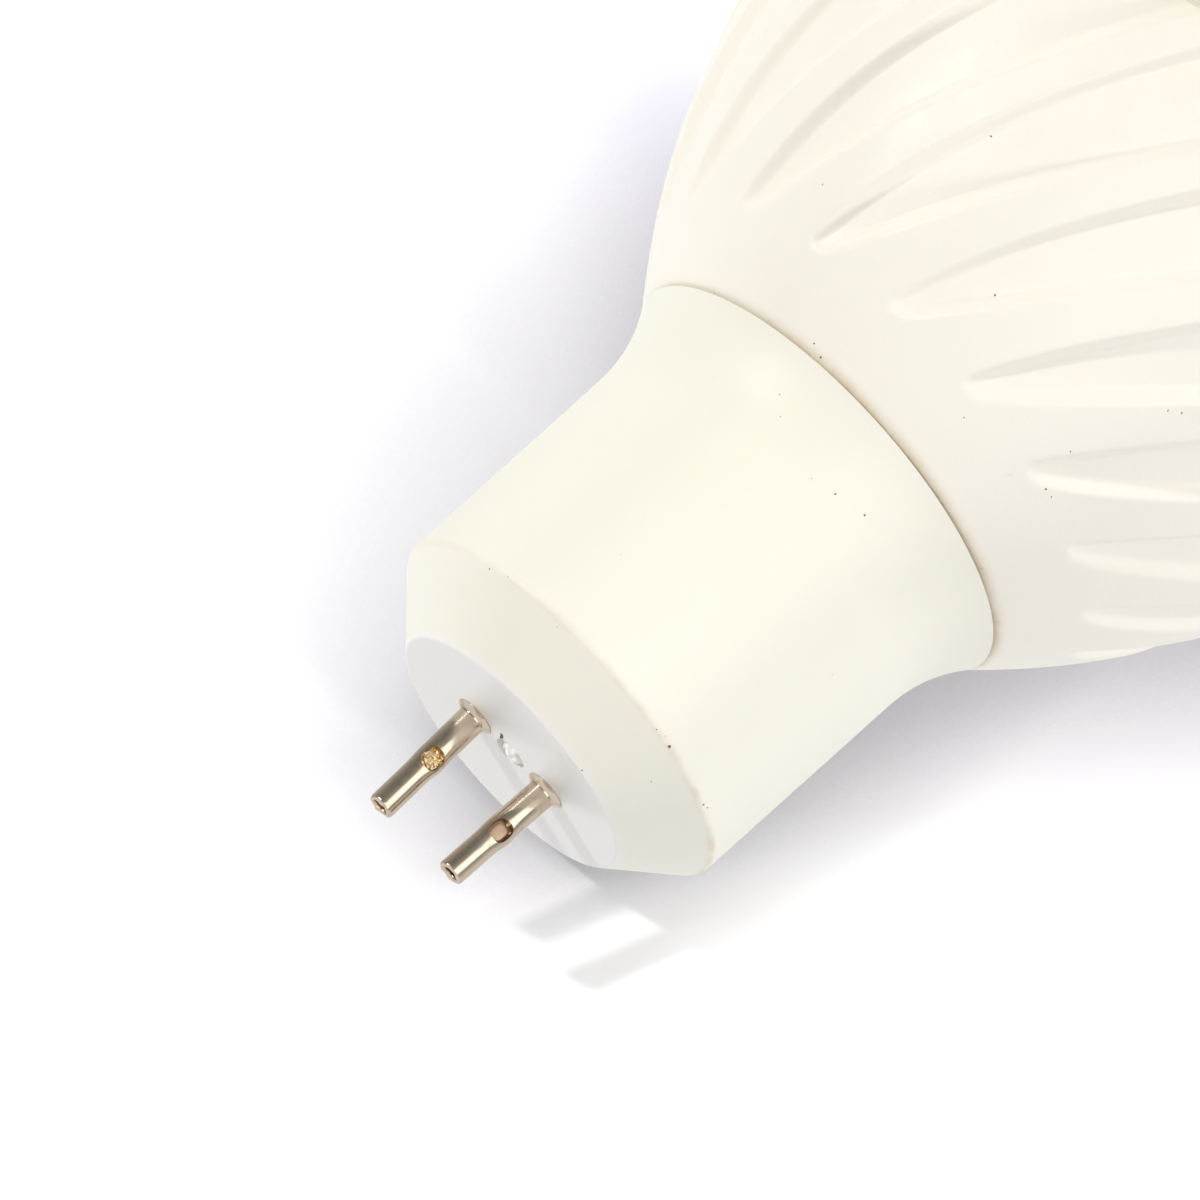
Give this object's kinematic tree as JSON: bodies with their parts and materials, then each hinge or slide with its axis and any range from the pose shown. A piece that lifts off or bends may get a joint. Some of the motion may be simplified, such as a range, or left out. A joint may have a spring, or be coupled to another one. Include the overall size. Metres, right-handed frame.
{
  "type": "led spot lamp",
  "caption": "White LED spot lamp with a pin base, a smooth plastic driver collar and a bell-shaped heat sink with shallow swirled flutes, standing on its flat front ring.",
  "frame": {"origin": "centre of the front ring's face, which the lamp stands on", "axes": "+Z along the lamp's axis from the front to the pins, +X through both pins"},
  "size_m": [0.05, 0.05, 0.058],
  "materials": {
    "collar_plastic": "smooth ivory-white moulding, soft gloss",
    "sink_coating": "satin off-white coating with a fine grain",
    "pin_metal": "worn warm nickel plate with fine scratches",
    "ring_plastic": "plain white moulding",
    "lens_clear": "clear moulded disc",
    "reflector_metal": "bright metallised cup",
    "emitter_phosphor": "yellow phosphor gel",
    "led_board_mask": "white solder mask on metal",
    "pad_grey": "soft grey thermal pad",
    "screw_steel": "zinc-plated steel",
    "board_laminate": "green glass-fibre laminate",
    "can_sleeve": "dark printed-free sleeve",
    "film_epoxy": "red-brown epoxy",
    "fuse_glaze": "pale green lacquer",
    "choke_sleeve": "black shrink sleeve",
    "chip_black": "black moulding compound",
    "resistor_body": "black glazed chip",
    "core_ferrite": "dark grey ferrite",
    "bobbin_plastic": "black phenolic",
    "winding_tape": "yellow polyester tape",
    "lead_tinned": "tinned copper",
    "wire_red": "red insulation",
    "wire_black": "black insulation"
  },
  "bodies": {
    "root": {"base_collar": "collar_plastic", "heat_sink": "sink_coating", "contact_pin_left": "pin_metal", "contact_pin_right": "pin_metal", "input_lead_left": "lead_tinned", "input_lead_right": "lead_tinned", "driver_board": "board_laminate", "filter_capacitor": "can_sleeve", "film_capacitor": "film_epoxy", "fuse_resistor": "fuse_glaze", "damping_choke": "choke_sleeve", "bridge_rectifier": "chip_black", "driver_chip": "chip_black", "output_diode": "chip_black", "sense_resistors": "resistor_body", "transformer_core": "core_ferrite", "transformer_bobbin": "bobbin_plastic", "transformer_winding": "winding_tape", "output_lead_positive": "wire_red", "output_lead_negative": "wire_black", "collar_screws": "screw_steel", "thermal_pad": "pad_grey", "led_board": "led_board_mask", "led_emitter": "emitter_phosphor", "board_screws": "screw_steel", "reflector": "reflector_metal", "front_lens": "lens_clear", "front_ring": "ring_plastic"}
  },
  "joints": []
}
